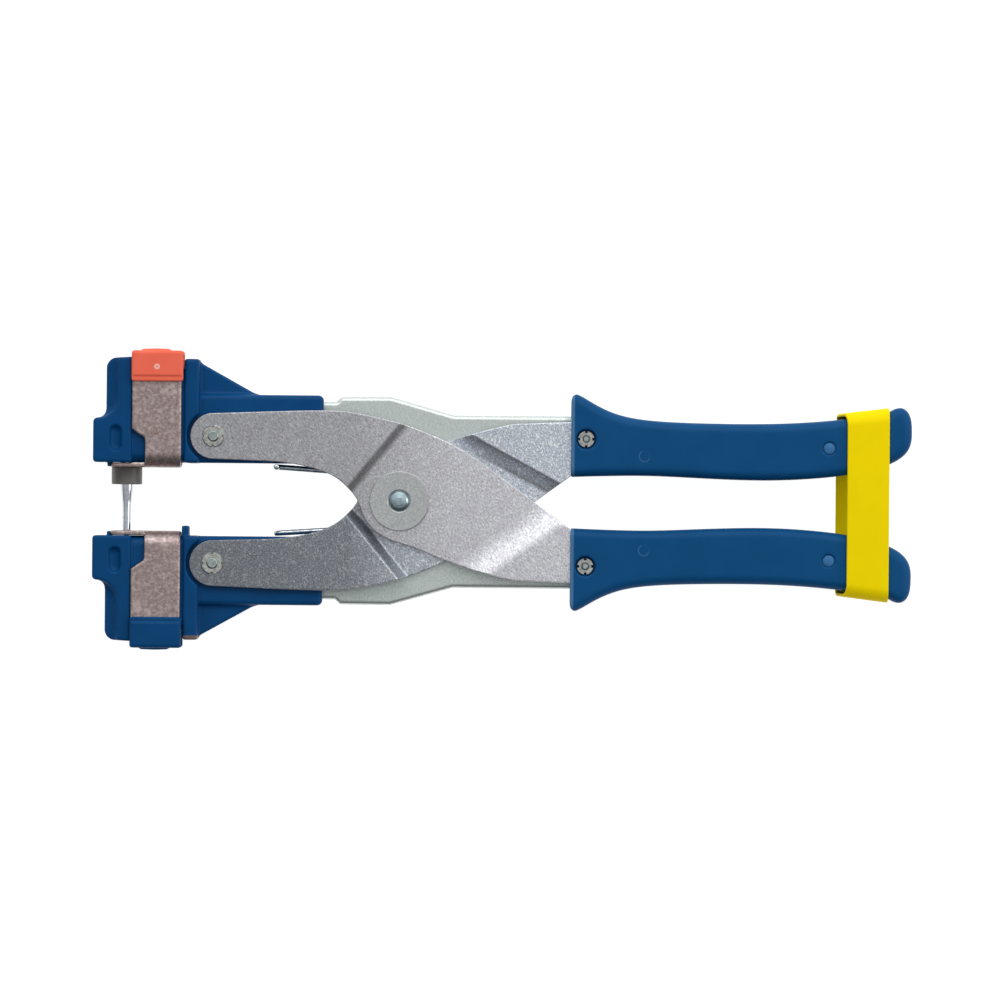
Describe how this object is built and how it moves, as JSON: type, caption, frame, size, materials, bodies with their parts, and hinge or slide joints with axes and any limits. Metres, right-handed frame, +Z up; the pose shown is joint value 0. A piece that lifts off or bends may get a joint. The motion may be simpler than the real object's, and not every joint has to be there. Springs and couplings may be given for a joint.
{
  "type": "ear tag applicator",
  "caption": "Plier-type applicator for two-piece livestock ear tags, with parallel jaws, a tag pin, sprung tag clamps worked by buttons, moulded grips and a handle strap.",
  "frame": {"origin": "centre of the tool's box, on the surface it lies on", "axes": "+X along the tool towards the grips, +Y across it towards the jaw that carries the pin, +Z up out of the surface it lies on"},
  "size_m": [0.2665, 0.098, 0.0276],
  "materials": {
    "grip_blue": "fine moulded texture, slight sheen",
    "head_blue": "smooth moulding, slight sheen",
    "button_orange": "smooth moulding",
    "button_blue": "smooth moulding",
    "stirrup_steel": "dull plated sheet",
    "collar_grey": "dull moulding",
    "strap_yellow": "matt elastic band",
    "dowel_blue": "smooth plug",
    "pin_bright": "polished",
    "spring_steel": "bright drawn wire",
    "pin_steel": "zinc plated",
    "retainer_steel": "zinc plated",
    "channel_steel": "zinc plated, spangled",
    "zinc_steel": "zinc plated, spangled"
  },
  "bodies": {
    "lower_handle": {"lower_handle_front_plate": "zinc_steel", "lower_handle_rear_plate": "zinc_steel", "lower_grip": "grip_blue", "lower_grip_pin": "dowel_blue", "lower_slide_pin": "pin_steel", "lower_slide_pin_retainers": "retainer_steel", "upper_jaw_pin": "pin_steel", "upper_jaw_pin_retainers": "retainer_steel", "pivot_rivet": "pin_steel", "front_pivot_washer": "zinc_steel", "rear_pivot_washer": "zinc_steel", "pivot_spacer_bush": "zinc_steel", "return_spring": "spring_steel", "handle_strap": "strap_yellow"},
    "upper_handle": {"upper_handle_front_plate": "zinc_steel", "upper_handle_rear_plate": "zinc_steel", "upper_grip": "grip_blue", "upper_grip_pin": "dowel_blue", "upper_slide_pin": "pin_steel", "upper_slide_pin_retainers": "retainer_steel", "lower_jaw_pin": "pin_steel", "lower_jaw_pin_retainers": "retainer_steel"},
    "upper_jaw": {"upper_jaw_channel": "channel_steel", "upper_jaw_bush": "zinc_steel", "upper_head": "head_blue", "applicator_pin": "pin_bright", "upper_clamp_spring": "spring_steel"},
    "lower_jaw": {"lower_jaw_channel": "channel_steel", "lower_jaw_bush": "zinc_steel", "lower_head": "head_blue", "anvil_insert": "zinc_steel", "lower_clamp_spring": "spring_steel"},
    "upper_clamp": {"upper_stirrup": "stirrup_steel", "ejector_collar": "collar_grey", "upper_button": "button_orange"},
    "lower_clamp": {"lower_stirrup": "stirrup_steel", "lower_button": "button_blue"}
  },
  "joints": [
    {"name": "handle_pivot", "type": "hinge", "parent": "lower_handle", "child": "upper_handle", "pos_m": [-0.03345, 0, 0.0138], "axis": [0, 0, 1], "range_deg": [-6.5, 28], "stiffness_Nm_per_rad": 2, "deforming": ["return_spring", "handle_strap"]},
    {"name": "upper_jaw_pivot", "type": "hinge", "parent": "lower_handle", "child": "upper_jaw", "pos_m": [-0.09415, 0.0207, 0.0138], "axis": [0, 0, 1], "range_deg": [-3.25, 14]},
    {"name": "lower_jaw_pivot", "type": "hinge", "parent": "upper_handle", "child": "lower_jaw", "pos_m": [-0.09415, -0.0207, 0.0138], "axis": [0, 0, 1], "range_deg": [-14, 3.25]},
    {"name": "upper_button_slide", "type": "slide", "parent": "upper_jaw", "child": "upper_clamp", "axis": [0, -1, 0], "range_m": [0, 0.0035], "stiffness_N_per_m": 1500, "deforming": ["upper_clamp_spring"]},
    {"name": "lower_button_slide", "type": "slide", "parent": "lower_jaw", "child": "lower_clamp", "axis": [0, 1, 0], "range_m": [0, 0.0035], "stiffness_N_per_m": 1500, "deforming": ["lower_clamp_spring"]}
  ],
  "couplings": [
    {"joint": "upper_jaw_pivot", "follows": "handle_pivot", "ratio": 0.5},
    {"joint": "lower_jaw_pivot", "follows": "handle_pivot", "ratio": -0.5}
  ]
}
